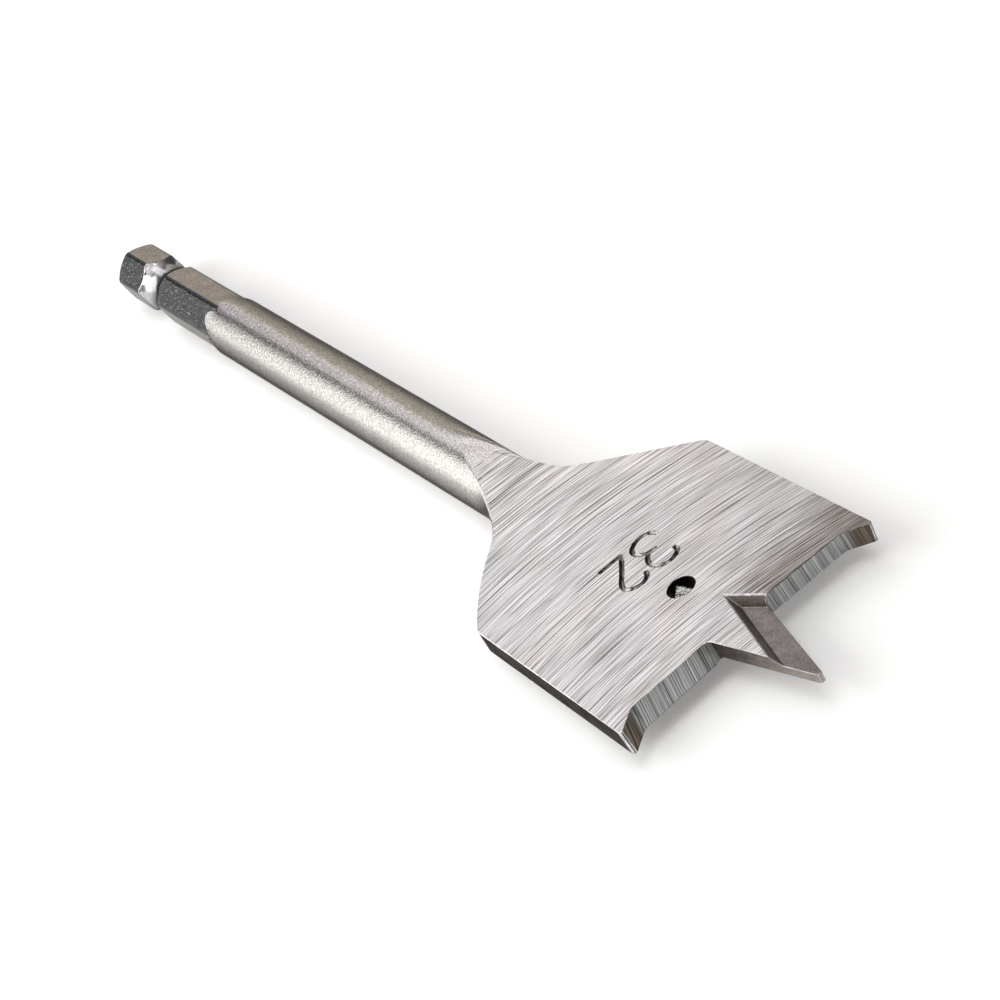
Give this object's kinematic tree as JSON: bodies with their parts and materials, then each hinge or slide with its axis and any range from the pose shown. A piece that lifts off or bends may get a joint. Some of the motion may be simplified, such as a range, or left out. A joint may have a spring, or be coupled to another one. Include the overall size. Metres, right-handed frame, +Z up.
{
  "type": "spade drill bit",
  "caption": "Flat spade bit for wood, with a hexagon shank, round shaft, outer spurs, ground cutting lips and a long centre point.",
  "frame": {"origin": "on the ground below the middle of the bit's length, with the bit lying on its shaft and the blade level", "axes": "+X along the turning axis from the hexagon to the centre point, +Y across the blade, +Z up, square to the blade's faces"},
  "size_m": [0.1524, 0.032, 0.0074],
  "materials": {
    "steel": "bright steel, ground across the blade, satin on the shaft and hexagon"
  },
  "bodies": {
    "root": {"spade_bit": "steel"}
  },
  "joints": []
}
